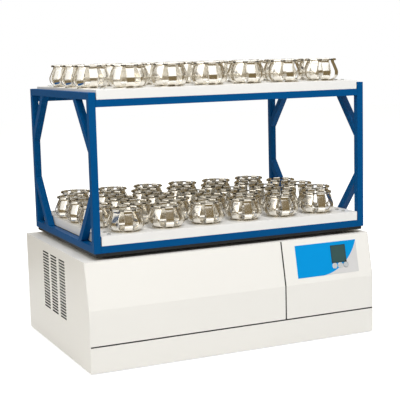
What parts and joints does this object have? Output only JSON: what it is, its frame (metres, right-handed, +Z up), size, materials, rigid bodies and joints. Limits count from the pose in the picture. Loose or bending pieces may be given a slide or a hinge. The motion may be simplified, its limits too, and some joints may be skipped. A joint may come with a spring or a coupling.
{
  "type": "double-deck orbital shaker",
  "caption": "Floor-standing laboratory orbital shaker: white housing with a control panel, blue open frame above it, stacked white trays with rows of sprung steel flask clamps.",
  "frame": {"origin": "middle of the housing's footprint on the surface that the feet stand on", "axes": "+Z up, +X along the width to the control panel's side, front faces -Y"},
  "size_m": [1.14, 0.749, 1.048],
  "materials": {
    "housing_paint": "smooth satin powder coat",
    "inner_paint": "plain satin paint",
    "table_paint": "satin black paint",
    "frame_paint": "smooth satin powder coat",
    "tray_paint": "smooth satin powder coat",
    "clamp_steel": "bright sprung sheet",
    "screw_steel": "plated",
    "shaft_steel": "ground",
    "bearing_iron": "machined",
    "cast_aluminium": "turned",
    "belt_rubber": "fabric-backed",
    "foot_rubber": "moulded",
    "black_plastic": "moulded",
    "blue_film": "printed film",
    "grey_film": "printed film",
    "display_glass": "unlit display behind a clear window",
    "button_cap": "metallised",
    "ring_cap": "clear ring",
    "circuit_board": "coated"
  },
  "bodies": {
    "base": {"bottom_plate": "housing_paint", "rubber_feet": "foot_rubber", "left_side_panel": "housing_paint", "right_side_panel": "housing_paint", "rear_panel": "housing_paint", "top_cover": "housing_paint", "front_cover": "housing_paint", "control_cover": "housing_paint", "plinth_cover": "housing_paint", "cover_frame": "inner_paint", "blue_overlay": "blue_film", "grey_overlay": "grey_film", "display_window": "display_glass", "control_board": "circuit_board", "button_switches": "black_plastic", "power_unit": "inner_paint", "power_inlet": "black_plastic", "switch_bezel": "black_plastic", "cover_screws": "screw_steel", "bearing_deck": "inner_paint", "deck_legs": "inner_paint", "main_bearing_housing": "bearing_iron", "idler_bearing_housings": "bearing_iron", "drive_belt": "belt_rubber", "drive_motor": "inner_paint", "motor_mount": "inner_paint"},
    "main_crank": {"crank_shaft": "shaft_steel", "counterweight": "bearing_iron", "main_pulley": "cast_aluminium"},
    "motor_rotor": {"motor_pulley": "cast_aluminium"},
    "idler_1": {"idler_crank_1": "shaft_steel"},
    "idler_2": {"idler_crank_2": "shaft_steel"},
    "idler_3": {"idler_crank_3": "shaft_steel"},
    "idler_4": {"idler_crank_4": "shaft_steel"},
    "platform": {"drive_table": "table_paint", "table_bearings": "bearing_iron", "corner_posts": "frame_paint", "lower_long_rails": "frame_paint", "upper_long_rails": "frame_paint", "lower_end_rails": "frame_paint", "upper_end_rails": "frame_paint", "end_braces": "frame_paint", "lower_tray": "tray_paint", "upper_tray": "tray_paint", "tray_screws": "screw_steel", "lower_clamps_row_1": "clamp_steel", "lower_clamps_row_2": "clamp_steel", "lower_clamps_row_3": "clamp_steel", "lower_clamps_row_4": "clamp_steel", "lower_clamps_row_5": "clamp_steel", "upper_clamps_row_1": "clamp_steel", "upper_clamps_row_2": "clamp_steel", "upper_clamps_row_3": "clamp_steel", "upper_clamps_row_4": "clamp_steel", "upper_clamps_row_5": "clamp_steel"},
    "button_1": {"push_button_1": "button_cap"},
    "button_2": {"push_button_2": "button_cap"},
    "button_3": {"push_button_3": "ring_cap"},
    "rocker": {"rocker_switch": "black_plastic"}
  },
  "joints": [
    {"name": "crank_turn", "type": "hinge", "parent": "base", "child": "main_crank", "pos_m": [0, 0.017, 0.33], "axis": [0, 0, 1], "continuous": true},
    {"name": "platform_orbit", "type": "hinge", "parent": "main_crank", "child": "platform", "pos_m": [0.013, 0.017, 0.409], "axis": [0, 0, 1], "continuous": true},
    {"name": "idler_turn_1", "type": "hinge", "parent": "base", "child": "idler_1", "pos_m": [-0.385, -0.208, 0.33], "axis": [0, 0, 1], "continuous": true},
    {"name": "idler_turn_2", "type": "hinge", "parent": "base", "child": "idler_2", "pos_m": [0.385, -0.208, 0.33], "axis": [0, 0, 1], "continuous": true},
    {"name": "idler_turn_3", "type": "hinge", "parent": "base", "child": "idler_3", "pos_m": [0.385, 0.242, 0.33], "axis": [0, 0, 1], "continuous": true},
    {"name": "idler_turn_4", "type": "hinge", "parent": "base", "child": "idler_4", "pos_m": [-0.385, 0.242, 0.33], "axis": [0, 0, 1], "continuous": true},
    {"name": "motor_turn", "type": "hinge", "parent": "base", "child": "motor_rotor", "pos_m": [-0.24, 0.017, 0.2], "axis": [0, 0, 1], "continuous": true},
    {"name": "button_press_1", "type": "slide", "parent": "base", "child": "button_1", "axis": [0, 0.9789, -0.2042], "range_m": [0, 0.0015], "stiffness_N_per_m": 800},
    {"name": "button_press_2", "type": "slide", "parent": "base", "child": "button_2", "axis": [0, 0.9789, -0.2042], "range_m": [0, 0.0015], "stiffness_N_per_m": 800},
    {"name": "button_press_3", "type": "slide", "parent": "base", "child": "button_3", "axis": [0, 0.9789, -0.2042], "range_m": [0, 0.0015], "stiffness_N_per_m": 800},
    {"name": "rocker_tilt", "type": "hinge", "parent": "base", "child": "rocker", "pos_m": [0.47, 0.3685, 0.06], "axis": [1, 0, 0], "range_deg": [0, 16]}
  ],
  "couplings": [
    {"joint": "platform_orbit", "follows": "crank_turn", "ratio": -1},
    {"joint": "idler_turn_1", "follows": "crank_turn", "ratio": 1},
    {"joint": "idler_turn_2", "follows": "crank_turn", "ratio": 1},
    {"joint": "idler_turn_3", "follows": "crank_turn", "ratio": 1},
    {"joint": "idler_turn_4", "follows": "crank_turn", "ratio": 1},
    {"joint": "motor_turn", "follows": "crank_turn", "ratio": 4.1667}
  ]
}
